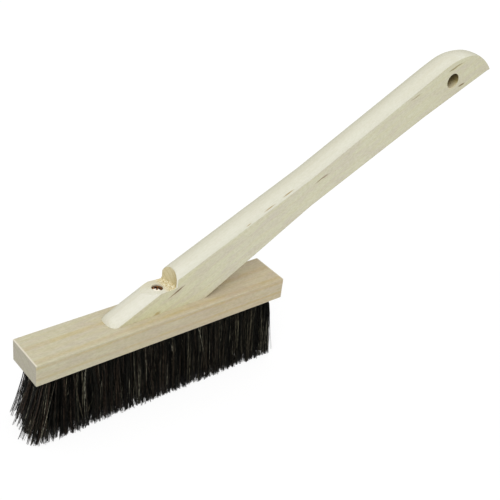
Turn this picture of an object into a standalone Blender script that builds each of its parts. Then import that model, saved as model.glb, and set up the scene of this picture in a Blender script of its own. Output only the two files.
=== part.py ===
"""Plastering brush: a wooden block set with ranks of bristle tufts, and a long wooden handle that is screwed
to the block's back through a step cut in its toe.

X runs along the block, towards the handle's tip, Y across it and Z up. The brush stands on its bristles.
"""
import math
import random

import bmesh
import bpy
from mathutils import Matrix, Vector

MM = 0.001

# Block
BLOCK_LENGTH = 240 * MM
BLOCK_WIDTH = 38 * MM
BLOCK_THICKNESS = 20 * MM
BLOCK_EDGE_ROUNDING = 0.9 * MM

# Bristles: each rank of tufts across the block grows from its own thin slice of the block's underside
BRISTLE_LENGTH = 57.5 * MM
RANKS = 26
TUFTS_IN_RANK = 4
STRANDS_ACROSS_TUFT = 2
FIELD_END_INSET = 9.6 * MM
FIELD_SIDE_INSET = 2.0 * MM
SLICE_THICKNESS = 1.2 * MM
STRAND_ROOT_WIDTH = 2.7 * MM
STRAND_TIP_WIDTH = 1.8 * MM
TIP_UNEVENNESS = 2.4 * MM
TIP_TRIM = 0.5 * MM
TIP_SCATTER = 0.55 * MM
SIDE_SPLAY = 5.0 * MM
LEFT_SPLAY = 12.0 * MM
LEFT_SPLAY_REACH = 34.0 * MM
RIGHT_SPLAY = 5.0 * MM
RIGHT_SPLAY_REACH = 24.0 * MM

# Handle seen from the side: X is counted from the block's middle, heights from the block's top
HANDLE_THICKNESS = 20 * MM
HANDLE_SIDE_OFFSET = 1.0 * MM
HANDLE_ARCH = 6.2 * MM
HANDLE_HEEL = 43 * MM
HEEL_STRETCH = 106 * MM
GRIP_STRETCH = 125 * MM
END_STRETCH = 79 * MM
HEEL_PITCH = math.radians(29.8)
GRIP_PITCH = math.radians(25.5)
END_PITCH = math.radians(23.5)
KNEE_LEAN = 5 * MM
KNEE_DEPTH = 30.8 * MM
LOWER_BACK_PITCH = math.radians(24.7)
UPPER_BACK_PITCH = math.radians(27.7)

# Toe of the handle, which lies on the block
HANDLE_TOE = -49.5 * MM
TOE_BACK_START = -43.1 * MM
TOE_PITCH = math.radians(26.55)
TOE_NOSE = 5 * MM
TOE_NOSE_DEPTH = 3 * MM
SOLE_ALLOWANCE = 6 * MM

# Rounded end of the handle, where the arch flattens and the far side lies a little lower
SHOULDER_FROM_TIP = 63 * MM
CREST_FROM_TIP = 31.5 * MM
TIP_FULLNESS = 0.35
TIP_BLUNTNESS = 1.0 * MM
FAR_SIDE_DROP = 3.0 * MM
FAR_SIDE_DROP_LENGTH = 47.5 * MM
END_ARCH = 1.8 * MM
FLATTENING_FROM_TIP = 65 * MM
FLATTENING_LENGTH = 46 * MM

# Step over the screw, with an upright round wall
STEP_HEIGHT = 20 * MM
STEP_WALL = 12.5 * MM
STEP_WALL_RADIUS = 26 * MM
STEP_SIDE_OFFSET = -1.0 * MM

# Hanging hole
HANG_HOLE_DIAMETER = 14 * MM
HANG_HOLE_FROM_TIP = 49.5 * MM
HANG_HOLE_BELOW_MIDDLE = 0.5 * MM

# Countersunk wood screw
SCREW_TO_WALL = 13.3 * MM
SCREW_SINK = 1.4 * MM
SCREW_COVER = 3.6 * MM
SHANK_DIAMETER = 5.0 * MM
CORE_DIAMETER = 3.5 * MM
HEAD_DIAMETER = 9.2 * MM
HEAD_RIM = 0.35 * MM
PLAIN_SHANK = 11 * MM
THREAD_PITCH = 2.0 * MM
POINT_LENGTH = 5 * MM
RECESS_LENGTH = 5.0 * MM
RECESS_SLOT = 1.1 * MM
RECESS_DEPTH = 2.2 * MM
RECESS_TAPER = 0.55

# Room left between pieces that touch on the real brush
GAP = 0.3 * MM

BLOCK_BASE = BRISTLE_LENGTH
BLOCK_TOP = BLOCK_BASE + BLOCK_THICKNESS
FIELD_LENGTH = BLOCK_LENGTH - 2 * FIELD_END_INSET
FIELD_WIDTH = BLOCK_WIDTH - 2 * FIELD_SIDE_INSET
RANK_PITCH = FIELD_LENGTH / RANKS
UNDER_KNEE = HANDLE_HEEL + HEEL_STRETCH
UNDER_BEND = UNDER_KNEE + GRIP_STRETCH
HANDLE_TIP = UNDER_BEND + END_STRETCH
BACK_KNEE = UNDER_KNEE - KNEE_LEAN
END_SHOULDER = HANDLE_TIP - SHOULDER_FROM_TIP
CREST = HANDLE_TIP - CREST_FROM_TIP
STEP_EDGE = TOE_BACK_START + STEP_HEIGHT / math.tan(TOE_PITCH)
SCREW_TOP = STEP_HEIGHT - SCREW_SINK
SCREW_LENGTH = SCREW_TOP + BLOCK_THICKNESS - SCREW_COVER
SCREW_SPOT = Vector((STEP_WALL - SCREW_TO_WALL, HANDLE_SIDE_OFFSET, BLOCK_TOP + SCREW_TOP))
HEAD_CONE = (HEAD_DIAMETER - SHANK_DIAMETER) / 2
ARCH_STEPS = 16
ROUND_SIDES = 24


def new_collection(name):
    """A collection linked to the scene."""
    collection = bpy.data.collections.new(name)
    bpy.context.scene.collection.children.link(collection)
    return collection


def finish(name, colour, roughness, metallic=0.0):
    """A Principled material in one colour, given as sRGB hex."""
    channels = [int(colour[k:k + 2], 16) / 255 for k in (0, 2, 4)]
    linear = [c / 12.92 if c <= 0.04045 else ((c + 0.055) / 1.055) ** 2.4 for c in channels]
    material = bpy.data.materials.new(name)
    material.use_nodes = True
    shader = material.node_tree.nodes["Principled BSDF"]
    shader.inputs["Base Color"].default_value = (*linear, 1.0)
    shader.inputs["Roughness"].default_value = roughness
    shader.inputs["Metallic"].default_value = metallic
    return material


def add_piece(name, mesh, material):
    """A piece of the brush."""
    piece = bpy.data.objects.new(name, mesh)
    mesh.materials.append(material)
    parts.objects.link(piece)
    return piece


def add_cutter(name, mesh):
    """A tool that shapes a piece and isn't a piece itself."""
    tool = bpy.data.objects.new(name, mesh)
    tool.hide_render = True
    tool.display_type = "WIRE"
    tools.objects.link(tool)
    return tool


def cut(piece, tool):
    """Take the tool's shape out of the piece."""
    change = piece.modifiers.new(tool.name, "BOOLEAN")
    change.operation = "DIFFERENCE"
    change.solver = "EXACT"
    change.object = tool


def mesh_from(name, shape):
    """A mesh made of a bmesh, which is then freed."""
    mesh = bpy.data.meshes.new(name)
    shape.to_mesh(mesh)
    shape.free()
    return mesh


def box_mesh(name, low, high):
    """A box between two opposite corners."""
    size = Vector(high) - Vector(low)
    middle = (Vector(high) + Vector(low)) / 2
    shape = bmesh.new()
    bmesh.ops.create_cube(shape, size=1.0, matrix=Matrix.Translation(middle) @ Matrix.Diagonal((*size, 1.0)))
    return mesh_from(name, shape)


def cylinder_mesh(name, radius, length, sides):
    """An upright cylinder about its own middle."""
    shape = bmesh.new()
    bmesh.ops.create_cone(shape, cap_ends=True, segments=sides, radius1=radius, radius2=radius, depth=length)
    return mesh_from(name, shape)


def loft_mesh(name, rings):
    """A closed skin over rings of as many points each, with a flat face at both ends."""
    shape = bmesh.new()
    loops = [[shape.verts.new(point) for point in ring] for ring in rings]
    for one, other in zip(loops, loops[1:]):
        for k in range(len(one)):
            shape.faces.new((one[k - 1], one[k], other[k], other[k - 1]))
    shape.faces.new(loops[0])
    shape.faces.new(loops[-1])
    bmesh.ops.recalc_face_normals(shape, faces=shape.faces)
    return mesh_from(name, shape)


def profile_mesh(name, points):
    """A line of points (radius, height), to be turned about the upright axis."""
    shape = bmesh.new()
    corners = [shape.verts.new((radius, 0.0, height)) for radius, height in points]
    for upper, lower in zip(corners, corners[1:]):
        shape.edges.new((upper, lower))
    return mesh_from(name, shape)


def turn(thing):
    """Turn a profile into a closed round body."""
    lathe = thing.modifiers.new("turned", "SCREW")
    lathe.steps = ROUND_SIDES
    lathe.render_steps = ROUND_SIDES
    lathe.use_merge_vertices = True
    lathe.merge_threshold = 0.00001
    lathe.use_smooth_shade = True


def smooth(mesh, degrees):
    """Shade a mesh smooth and keep the edges that turn more than this."""
    mesh.shade_smooth()
    mesh.set_sharp_from_angle(angle=math.radians(degrees))


def ease(share):
    """A soft step from 0 to 1."""
    share = min(1.0, max(0.0, share))
    return share * share * (3 - 2 * share)


def under_edge(x):
    """Height of the handle's lower edge over the block: three straight stretches from the heel."""
    height = math.tan(HEEL_PITCH) * (min(x, UNDER_KNEE) - HANDLE_HEEL)
    height += math.tan(GRIP_PITCH) * max(0.0, min(x, UNDER_BEND) - UNDER_KNEE)
    return height + math.tan(END_PITCH) * max(0.0, x - UNDER_BEND)


def straight_back(x):
    """Height of the edge between the flat side and the arched back, on the two straight stretches."""
    pitch = LOWER_BACK_PITCH if x < BACK_KNEE else UPPER_BACK_PITCH
    return under_edge(BACK_KNEE) + KNEE_DEPTH + math.tan(pitch) * (x - BACK_KNEE)


def back_edge(x):
    """Height of the same edge from toe to tip: the toe's slope, the straight stretches and a rounded end."""
    if x < STEP_EDGE:
        return math.tan(TOE_PITCH) * (x - TOE_BACK_START)
    if x <= END_SHOULDER:
        return straight_back(x)
    rise = (CREST - END_SHOULDER) / math.sin(UPPER_BACK_PITCH)
    crest_height = straight_back(END_SHOULDER) + rise * (1 - math.cos(UPPER_BACK_PITCH))
    if x < CREST:
        return crest_height - rise + math.sqrt(rise ** 2 - (CREST - x) ** 2)
    fall = crest_height - under_edge(HANDLE_TIP) - TIP_BLUNTNESS
    share = TIP_FULLNESS * (x - CREST) / (HANDLE_TIP - CREST)
    return crest_height - fall * (1 - math.sqrt(1 - share ** 2)) / (1 - math.sqrt(1 - TIP_FULLNESS ** 2))


def handle_ring(x):
    """Corners of an upright cut across the handle: low near corner, arched back, low far corner."""
    half = HANDLE_THICKNESS / 2
    floor = max(under_edge(x), -SOLE_ALLOWANCE)
    near = back_edge(x)
    fullness = min(1.0, (near - under_edge(x)) / HANDLE_THICKNESS)
    far = near - FAR_SIDE_DROP * fullness * ease((x - CREST + FAR_SIDE_DROP_LENGTH) / FAR_SIDE_DROP_LENGTH)
    flattening = ease((x - HANDLE_TIP + FLATTENING_FROM_TIP) / FLATTENING_LENGTH)
    rise = (HANDLE_ARCH + (END_ARCH - HANDLE_ARCH) * flattening) / math.cos(UPPER_BACK_PITCH) * fullness
    radius = (half ** 2 + HANDLE_ARCH ** 2) / (2 * HANDLE_ARCH)
    spread = math.asin(min(1.0, half / radius))
    lift = 1.0
    if x < HANDLE_TOE + TOE_NOSE:
        lift = math.sqrt(max(0.0, 1 - ((HANDLE_TOE + TOE_NOSE - x) / TOE_NOSE) ** 2))
    ring = [(-half, floor)]
    for k in range(ARCH_STEPS + 1):
        angle = spread * (2 * k / ARCH_STEPS - 1)
        share = (math.cos(angle) - math.cos(spread)) / (1 - math.cos(spread))
        height = near + (far - near) * k / ARCH_STEPS + rise * share
        if lift < 1.0:
            height = (height + TOE_NOSE_DEPTH) * lift - TOE_NOSE_DEPTH
        ring.append((half * math.sin(angle) / math.sin(spread), max(height, floor + GAP)))
    ring.append((half, floor))
    return [(x, HANDLE_SIDE_OFFSET + y, BLOCK_TOP + z) for y, z in ring]


def handle_places():
    """Where the handle is cut across: closer together where its outline bends."""
    places = [HANDLE_TOE + TOE_NOSE * (1 - math.cos(math.radians(angle))) for angle in range(0, 91, 15)]
    places += [STEP_EDGE - GAP / 2, STEP_EDGE + GAP / 2, HANDLE_HEEL - SOLE_ALLOWANCE / math.tan(HEEL_PITCH)]
    places += [BACK_KNEE, UNDER_KNEE, UNDER_BEND, (UNDER_BEND + END_SHOULDER) / 2]
    places += [END_SHOULDER + (CREST - END_SHOULDER) * k / 5 for k in range(5)]
    places += [CREST + (HANDLE_TIP - CREST) * math.sin(math.radians(angle)) for angle in range(0, 91, 10)]
    return sorted(places)


def screw_profile():
    """Outline of the screw from the top of its head to its point; its thread is drawn as rings."""
    shank = SHANK_DIAMETER / 2
    core = CORE_DIAMETER / 2
    points = [(0.0, 0.0), (HEAD_DIAMETER / 2, 0.0), (HEAD_DIAMETER / 2, -HEAD_RIM)]
    points += [(shank, -HEAD_RIM - HEAD_CONE), (shank, -PLAIN_SHANK)]
    threaded = SCREW_LENGTH - POINT_LENGTH - PLAIN_SHANK
    turns = max(1, round(threaded / THREAD_PITCH))
    pitch = threaded / turns
    for k in range(turns):
        start = PLAIN_SHANK + k * pitch
        points += [(core, -start - 0.3 * pitch), (core, -start - 0.6 * pitch), (shank, -start - 0.85 * pitch)]
    return points + [(core, -SCREW_LENGTH + POINT_LENGTH), (0.0, -SCREW_LENGTH)]


def screw_hole_profile():
    """Outline of the screw's hole: open above the head, countersunk, then a little wider than the thread."""
    head = HEAD_DIAMETER / 2 + GAP
    shaft = SHANK_DIAMETER / 2 + GAP
    seat = -HEAD_RIM - GAP
    points = [(0.0, SCREW_SINK + HANDLE_ARCH), (head, SCREW_SINK + HANDLE_ARCH), (head, seat)]
    return points + [(shaft, seat - HEAD_CONE), (shaft, -SCREW_LENGTH - GAP), (0.0, -SCREW_LENGTH - GAP)]


def cross_ring(length, slot, height):
    """Corners of a cross seen from above."""
    arm = length / 2
    side = slot / 2
    quarter = [(arm, -side), (arm, side), (side, side)]
    ring = []
    for turn_count in range(4):
        angle = turn_count * math.pi / 2
        cosine = math.cos(angle)
        sine = math.sin(angle)
        ring += [(x * cosine - y * sine, x * sine + y * cosine, height) for x, y in quarter]
    return ring


def tip_place(x, y):
    """Where the tip of a strand lies that grows at this place of the block: the outer ones lean out."""
    left = max(0.0, -x - FIELD_LENGTH / 2 + LEFT_SPLAY_REACH) / LEFT_SPLAY_REACH
    right = max(0.0, x - FIELD_LENGTH / 2 + RIGHT_SPLAY_REACH) / RIGHT_SPLAY_REACH
    side = 2 * y / FIELD_WIDTH
    x += RIGHT_SPLAY * right ** 2 - LEFT_SPLAY * left ** 2
    y += SIDE_SPLAY * side
    return Vector((x, y, 0.0))


def rank_mesh(name, x, chance):
    """A slice of the block's underside, with a square strand growing down from each cell of its grid."""
    across = TUFTS_IN_RANK * STRANDS_ACROSS_TUFT
    length = RANK_PITCH - GAP
    cell = (length / STRANDS_ACROSS_TUFT, FIELD_WIDTH / across)
    shape = bmesh.new()
    size = Matrix.Translation((x, 0.0, BLOCK_BASE)) @ Matrix.Diagonal((length / 2, FIELD_WIDTH / 2, 1.0, 1.0))
    bmesh.ops.create_grid(shape, x_segments=STRANDS_ACROSS_TUFT, y_segments=across, size=1.0, matrix=size)
    cells = shape.faces[:]
    raised = bmesh.ops.extrude_face_region(shape, geom=cells, use_keep_orig=True)["geom"]
    roof = [item for item in raised if isinstance(item, bmesh.types.BMVert)]
    bmesh.ops.translate(shape, verts=roof, vec=(0.0, 0.0, SLICE_THICKNESS))
    floor_edges = {edge for face in cells for edge in face.edges}
    other_edges = [edge for edge in shape.edges if edge not in floor_edges]
    bmesh.ops.dissolve_limit(shape, angle_limit=math.radians(1), verts=roof, edges=other_edges)
    bmesh.ops.recalc_face_normals(shape, faces=shape.faces)
    bmesh.ops.inset_individual(shape, faces=cells, thickness=(min(cell) - STRAND_ROOT_WIDTH) / 2)
    tips = bmesh.ops.extrude_discrete_faces(shape, faces=cells)["faces"]
    levels = [-TIP_TRIM + (TIP_TRIM + TIP_UNEVENNESS) * k / (len(tips) - 1) for k in range(len(tips))]
    chance.shuffle(levels)
    for tip, level in zip(tips, levels):
        root = tip.calc_center_median()
        end = tip_place(root.x, root.y)
        end.x += chance.uniform(-TIP_SCATTER, TIP_SCATTER)
        end.y += chance.uniform(-TIP_SCATTER, TIP_SCATTER)
        end.z = max(0.0, level)
        for corner in tip.verts:
            turned_in = (corner.co - root).normalized() * STRAND_TIP_WIDTH / math.sqrt(2)
            corner.co = end + turned_in
    return mesh_from(name, shape)


def stand_at_origin(pieces, root):
    """Move the empty that carries the pieces, so that the middle of their box's base lies at the origin."""
    bpy.context.view_layer.update()
    graph = bpy.context.evaluated_depsgraph_get()
    corners = []
    for piece in pieces:
        seen = piece.evaluated_get(graph)
        corners += [seen.matrix_world @ Vector(corner) for corner in seen.bound_box]
    low = [min(corner[axis] for corner in corners) for axis in range(3)]
    high = [max(corner[axis] for corner in corners) for axis in range(3)]
    root.location = (-(low[0] + high[0]) / 2, -(low[1] + high[1]) / 2, -low[2])


for old in list(bpy.data.objects):
    bpy.data.objects.remove(old, do_unlink=True)
parts = new_collection("plastering_brush")
tools = new_collection("cutters")
block_wood = finish("block_wood", "C9BD9A", 0.6)
handle_wood = finish("handle_wood", "E3DECA", 0.55)
screw_metal = finish("screw_metal", "B08A4A", 0.3, metallic=1.0)
bristle_hair = finish("bristle_hair", "1E1A15", 0.55)

# Block, with a shallow recess below for the slices that carry the tufts
block = add_piece("block", box_mesh(
    "block",
    (-BLOCK_LENGTH / 2, -BLOCK_WIDTH / 2, BLOCK_BASE),
    (BLOCK_LENGTH / 2, BLOCK_WIDTH / 2, BLOCK_TOP),
), block_wood)
rounding = block.modifiers.new("edges", "BEVEL")
rounding.width = BLOCK_EDGE_ROUNDING
rounding.segments = 2
recess = add_cutter("tuft_recess", box_mesh(
    "tuft_recess",
    (-(FIELD_LENGTH + GAP) / 2, -FIELD_WIDTH / 2 - GAP, BLOCK_BASE - GAP),
    ((FIELD_LENGTH + GAP) / 2, FIELD_WIDTH / 2 + GAP, BLOCK_BASE + SLICE_THICKNESS + GAP),
))
cut(block, recess)

# Handle, trimmed to the block's top, with the step and the hanging hole cut in it
handle_mesh = loft_mesh("handle", [handle_ring(x) for x in handle_places()])
smooth(handle_mesh, 20)
handle = add_piece("handle", handle_mesh, handle_wood)
sole = add_cutter("sole_cut", box_mesh(
    "sole_cut",
    (HANDLE_TOE - TOE_NOSE, -HANDLE_THICKNESS, BLOCK_TOP - 2 * SOLE_ALLOWANCE),
    (HANDLE_HEEL + TOE_NOSE, HANDLE_THICKNESS, BLOCK_TOP + GAP),
))
cut(handle, sole)
step_depth = 2 * (HANDLE_THICKNESS + STEP_HEIGHT)
step = add_cutter("step_cut", cylinder_mesh("step_cut", STEP_WALL_RADIUS, step_depth, 96))
step.location = (STEP_WALL - STEP_WALL_RADIUS, STEP_SIDE_OFFSET, BLOCK_TOP + STEP_HEIGHT + step_depth / 2)
cut(handle, step)
hole_x = HANDLE_TIP - HANG_HOLE_FROM_TIP
hang_hole = add_cutter("hang_hole_cut", cylinder_mesh(
    "hang_hole_cut", HANG_HOLE_DIAMETER / 2, 2 * HANDLE_THICKNESS, 2 * ROUND_SIDES))
hang_hole.rotation_euler.x = math.pi / 2
hole_z = BLOCK_TOP + (under_edge(hole_x) + back_edge(hole_x)) / 2 - HANG_HOLE_BELOW_MIDDLE
hang_hole.location = (hole_x, HANDLE_SIDE_OFFSET, hole_z)
cut(handle, hang_hole)

# Screw through the step's floor into the block
screw_hole = add_cutter("screw_hole_cut", profile_mesh("screw_hole_cut", screw_hole_profile()))
screw_hole.location = SCREW_SPOT
turn(screw_hole)
cut(handle, screw_hole)
cut(block, screw_hole)
screw = add_piece("handle_screw", profile_mesh("handle_screw", screw_profile()), screw_metal)
screw.location = SCREW_SPOT
turn(screw)
recess_mesh = loft_mesh("cross_recess", [
    cross_ring(RECESS_LENGTH, RECESS_SLOT, GAP),
    cross_ring(RECESS_LENGTH * RECESS_TAPER, RECESS_SLOT * RECESS_TAPER, -RECESS_DEPTH),
])
cross = add_cutter("cross_recess", recess_mesh)
cross.location = SCREW_SPOT
cross.rotation_euler.z = math.radians(25)
cut(screw, cross)

# Ranks of tufts from the block's left end to its right
chance = random.Random(7)
for number in range(RANKS):
    rank_x = -FIELD_LENGTH / 2 + (number + 0.5) * RANK_PITCH
    rank_name = f"tuft_rank_{number + 1:02d}"
    add_piece(rank_name, rank_mesh(rank_name, rank_x, chance), bristle_hair)

brush = bpy.data.objects.new("plastering_brush", None)
parts.objects.link(brush)
for piece in list(parts.objects) + list(tools.objects):
    if piece is not brush:
        piece.parent = brush
stand_at_origin([piece for piece in parts.objects if piece.type == "MESH"], brush)
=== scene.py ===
"""Looks of a plastering brush: a planed hardwood block set with dark horsehair, and a pale shaped handle that is
held by one sunk wood screw.

X runs along the block, towards the handle's tip, Y across it and Z up, in metres. The brush stands on its hair.
"""
import math

import bmesh
import bpy
import numpy as np
from mathutils import Matrix, Vector


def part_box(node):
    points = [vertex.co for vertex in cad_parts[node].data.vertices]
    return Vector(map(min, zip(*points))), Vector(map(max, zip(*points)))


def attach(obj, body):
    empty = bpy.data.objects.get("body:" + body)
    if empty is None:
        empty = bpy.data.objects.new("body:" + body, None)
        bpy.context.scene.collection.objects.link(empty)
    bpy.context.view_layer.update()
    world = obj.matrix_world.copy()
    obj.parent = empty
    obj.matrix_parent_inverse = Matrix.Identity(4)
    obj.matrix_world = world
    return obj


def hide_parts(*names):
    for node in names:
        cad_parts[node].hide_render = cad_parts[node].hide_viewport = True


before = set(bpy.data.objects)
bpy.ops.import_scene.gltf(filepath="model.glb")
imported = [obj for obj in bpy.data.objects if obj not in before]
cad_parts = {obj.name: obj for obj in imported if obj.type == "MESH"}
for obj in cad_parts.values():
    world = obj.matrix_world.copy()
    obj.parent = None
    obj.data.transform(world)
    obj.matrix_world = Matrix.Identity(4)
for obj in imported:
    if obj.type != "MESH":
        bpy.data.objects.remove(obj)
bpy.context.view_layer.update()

MM = 0.001
X, Y, Z = range(3)
block_low, block_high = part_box("block")
MIDDLE = (block_low.x + block_high.x) / 2
BLOCK_BASE = block_low.z
BLOCK_TOP = block_high.z

# Block and the rows of tufts in its underside
EDGE_ROUNDING = 0.45 * MM
# Widths of the painted edge highlight at the ends and along the lower side edges
END_HIGHLIGHT_BAND = 1.0 * MM
EDGE_HIGHLIGHT_BAND = 0.4 * MM
BLOCK_CREASE = math.radians(40)
WELD = 0.001 * MM
RANKS = 26
TUFTS_IN_RANK = 4
FIELD_END_INSET = 9.6 * MM
FIELD_SIDE_INSET = 2.0 * MM
FIELD_LENGTH = block_high.x - block_low.x - 2 * FIELD_END_INSET
FIELD_WIDTH = block_high.y - block_low.y - 2 * FIELD_SIDE_INSET
RANK_PITCH = FIELD_LENGTH / RANKS
TUFT_PITCH = FIELD_WIDTH / TUFTS_IN_RANK
TUFT_HOLE_RADIUS = 2.7 * MM
TUFT_HOLE_RIM = 0.25 * MM
TUFT_HOLE_DEPTH = 7 * MM
TUFT_HOLE_BOTTOM_RADIUS = 0.3 * MM
POINTS_ON_CELL_SIDE = 6

# Hair: sizes, the splay of the whole field, and what locks and single hairs do by chance
LOCKS_IN_TUFT = 70
HAIRS_IN_LOCK = 5
HAIR_CORNERS = 3
HAIR_ROOT_RADIUS = 0.15 * MM
HAIR_TIP_RADIUS = 0.11 * MM
HAIR_PLACES = np.array([0, 0.07, 0.14, 0.3, 0.5, 0.75, 1.0])[None]
ROOT_DEPTH = 4 * MM
ROOT_REACH = TUFT_HOLE_RADIUS - 0.3 * MM
ROW_END_GAP = 1.5 * MM
SIDE_SPLAY = 5.6 * MM
LEFT_SPLAY = 10.0 * MM
LEFT_SPLAY_REACH = 42.0 * MM
LEFT_FAR_SPLAY = 2.0 * MM
RIGHT_SPLAY = 0.1 * MM
RIGHT_SPLAY_REACH = 24.0 * MM
LOCK_WIDTH = 0.07
LOOSE_LOCKS = 0.35
LOOSE_LEAN = 4.0 * MM
WILD_LOCKS = 0.4
INNER_REACH = 14 * MM
LOCK_GATHER = 0.45 * MM
LOCK_PERIODS = (0.52 * MM, 0.83 * MM)
LOCK_WAVE = 0.4 * MM
HAIR_BEND = 0.2 * MM
TIP_LEVELS = (0.1, 1.4)
TIP_LEVEL_SPREAD = 0.25 * MM
STRAY_HAIRS = 0.02
STRAY_LEVELS = (0.1, 9)
HAIR_SHADES = ("050504", "1D1D19", "353027", "666251", "A8A591")
BROWN_AT_LEFT_END = "392F27"
HAIRS_OF_OTHER_SHADE = 0.35
OTHER_SHADE_SHARES = [0.5, 0.28, 0.12, 0.08, 0.02]

# Handle seen from the side: X is counted from the block's middle, heights from the block's top
HANDLE_THICKNESS = 20 * MM
HANDLE_SIDE_OFFSET = 1.0 * MM
NEAR_SIDE = HANDLE_SIDE_OFFSET - HANDLE_THICKNESS / 2
HANDLE_ARCH = 6.2 * MM
HANDLE_HEEL = 43 * MM
UNDER_KNEE = 149 * MM
UNDER_BEND = 274 * MM
HANDLE_TIP = 353 * MM
HEEL_PITCH = math.radians(29.8)
GRIP_PITCH = math.radians(25.5)
END_PITCH = math.radians(23.5)
BACK_KNEE = 144 * MM
KNEE_DEPTH = 30.8 * MM
LOWER_BACK_PITCH = math.radians(24.7)
UPPER_BACK_PITCH = math.radians(27.7)
HANDLE_TOE = -49.5 * MM
TOE_BACK_START = -43.1 * MM
TOE_PITCH = math.radians(26.55)
TOE_NOSE = 4.5 * MM
TOE_NOSE_DEPTH = 1.4 * MM
TOE_ROUND = 5 * MM
TOE_FAR_CORNER = 0.5
TOE_BEND_LENGTH = 16 * MM
SOLE_ALLOWANCE = 6 * MM
END_SHOULDER = HANDLE_TIP - 63 * MM
CREST = HANDLE_TIP - 31.5 * MM
TIP_FULLNESS = 0.35
TIP_BLUNTNESS = 1.0 * MM
FAR_SIDE_DROP = 3.0 * MM
FAR_SIDE_DROP_LENGTH = 47.5 * MM
END_ARCH = 1.8 * MM
FLATTENING_FROM_TIP = 65 * MM
FLATTENING_LENGTH = 46 * MM
LOWER_EDGE_ROUNDING = 1.2 * MM
SOLE_JOINT = 0.05 * MM
ARCH_POINTS = 41
CREASE = math.radians(35)

# Step over the screw
STEP_HEIGHT = 20 * MM
STEP_WALL = 12.5 * MM
STEP_WALL_RADIUS = 26 * MM
STEP_SIDE_OFFSET = -1.0 * MM
STEP_RIM = 1.3 * MM
STEP_DIP = 1.3 * MM
STEP_RISE = 0.35 * MM
STEP_FRONT = -34 * MM
STEP_TOOL_HEIGHT = 45 * MM
TEARS = 14
TEAR_HEIGHT = 0.045 * MM
STEP_EDGE = TOE_BACK_START + STEP_HEIGHT / math.tan(TOE_PITCH)

# Hanging hole
HANG_HOLE_RADIUS = 7 * MM
HANG_HOLE_RIM = 0.35 * MM
HANG_HOLE_X = HANDLE_TIP - 49.5 * MM
HANG_HOLE_BELOW_MIDDLE = 0.5 * MM

# Wood screw
SCREW_X = -1.2 * MM
SCREW_SIDE_OFFSET = 0.4 * MM
SCREW_SINK = 1.4 * MM
SCREW_LENGTH = 35 * MM
HEAD_RADIUS = 4.6 * MM
SHANK_RADIUS = 2.5 * MM
CORE_RADIUS = 1.75 * MM
THREAD_PITCH = 2.0 * MM
THREAD_START = 12 * MM
THREAD_SHARPNESS = 2.2
RECESS_ARM = 2.5 * MM
RECESS_SLOT = 0.55 * MM
RECESS_DEPTH = 2.2 * MM
RECESS_TURN = math.radians(48)
HEAD_RISE = 0.7 * MM
HEAD_RIM = 0.4 * MM
SCREW_SIDES = 96
SCREW_CLEARANCE = 0.3 * MM
SEAT_DEPTH = 0.65 * MM
COUNTERBORE_CHAMFER = 0.32 * MM

# Floor, as the camera sees it: its own glow and a share of the light, so that a faint shadow is left
PAPER_GLOW = 0.83
PAPER_SHADE = 0.2

chance = np.random.default_rng(7)


def rgb(code):
    """A linear colour with full alpha from an sRGB hex value."""
    channels = np.array([int(code[k:k + 2], 16) for k in (0, 2, 4)]) / 255
    linear = np.where(channels <= 0.04045, channels / 12.92, ((channels + 0.055) / 1.055) ** 2.4)
    return (*linear.tolist(), 1.0)


def add(tree, kind, settings=None, inputs=None):
    """A node with its settings; an input takes a plain value or another node's output."""
    node = tree.nodes.new(kind)
    for name, value in (settings or {}).items():
        setattr(node, name, value)
    for name, value in (inputs or {}).items():
        if isinstance(value, bpy.types.NodeSocket):
            tree.links.new(value, node.inputs[name])
        else:
            node.inputs[name].default_value = value
    return node


def new_material(name):
    """A material with an empty node tree."""
    material = bpy.data.materials.new(name)
    material.use_nodes = True
    material.node_tree.nodes.clear()
    return material, material.node_tree


def soft_step(value):
    """A soft step from 0 to 1, as an array."""
    value = np.clip(value, 0.0, 1.0)
    return value * value * (3 - 2 * value)


def unit_length(vectors):
    """The vectors, each divided by its own length."""
    return vectors / np.linalg.norm(vectors, axis=-1, keepdims=True)


def grid_faces(rows, columns, wrapped):
    """Quads between neighbouring rows and columns of a grid of points; wrapped joins the last column to the first."""
    row = np.arange(rows - 1)[:, None] * columns
    column = np.arange(columns if wrapped else columns - 1)[None, :]
    after = (column + 1) % columns
    return np.stack([row + column, row + after, row + columns + after, row + columns + column], -1).reshape(-1, 4)


def mesh_from(name, points, *face_sets):
    """A mesh put in as whole arrays: points (n, 3), and each face set (m, corners) of point numbers."""
    mesh = bpy.data.meshes.new(name)
    corners = np.concatenate([faces.ravel() for faces in face_sets]).astype(np.int32)
    sizes = np.concatenate([np.full(len(faces), faces.shape[1]) for faces in face_sets])
    mesh.vertices.add(len(points))
    mesh.vertices.foreach_set("co", np.ascontiguousarray(points, np.float32).ravel())
    mesh.loops.add(len(corners))
    mesh.loops.foreach_set("vertex_index", corners)
    mesh.polygons.add(len(sizes))
    mesh.polygons.foreach_set("loop_start", (np.cumsum(sizes) - sizes).astype(np.int32))
    mesh.update(calc_edges=True)
    mesh.validate()
    mesh.shade_smooth()
    return mesh


def outward(points, faces):
    """The faces turned so that the closed shell's signed volume is positive."""
    corner = [points[faces[:, k]] for k in range(3)]
    flux = np.einsum("ij,ij->i", corner[0], np.cross(corner[1], corner[2])).sum()
    if faces.shape[1] == 4:
        flux += np.einsum("ij,ij->i", corner[0], np.cross(corner[2], points[faces[:, 3]])).sum()
    return faces if flux > 0 else faces[:, ::-1]


def closed_tube(name, grid):
    """A mesh from a grid (rings, points around, 3): rings joined in their order, a flat face on both ends, and all
    faces outwards."""
    rows, columns = grid.shape[:2]
    points = grid.reshape(-1, 3)
    plain = grid_faces(rows, columns, True)
    faces = outward(points, plain)
    first = np.arange(columns)[None]
    last = first + (rows - 1) * columns
    caps = [first[:, ::-1], last] if (faces[0] == plain[0]).all() else [first, last[:, ::-1]]
    return mesh_from(name, points, faces, *caps)


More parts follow.
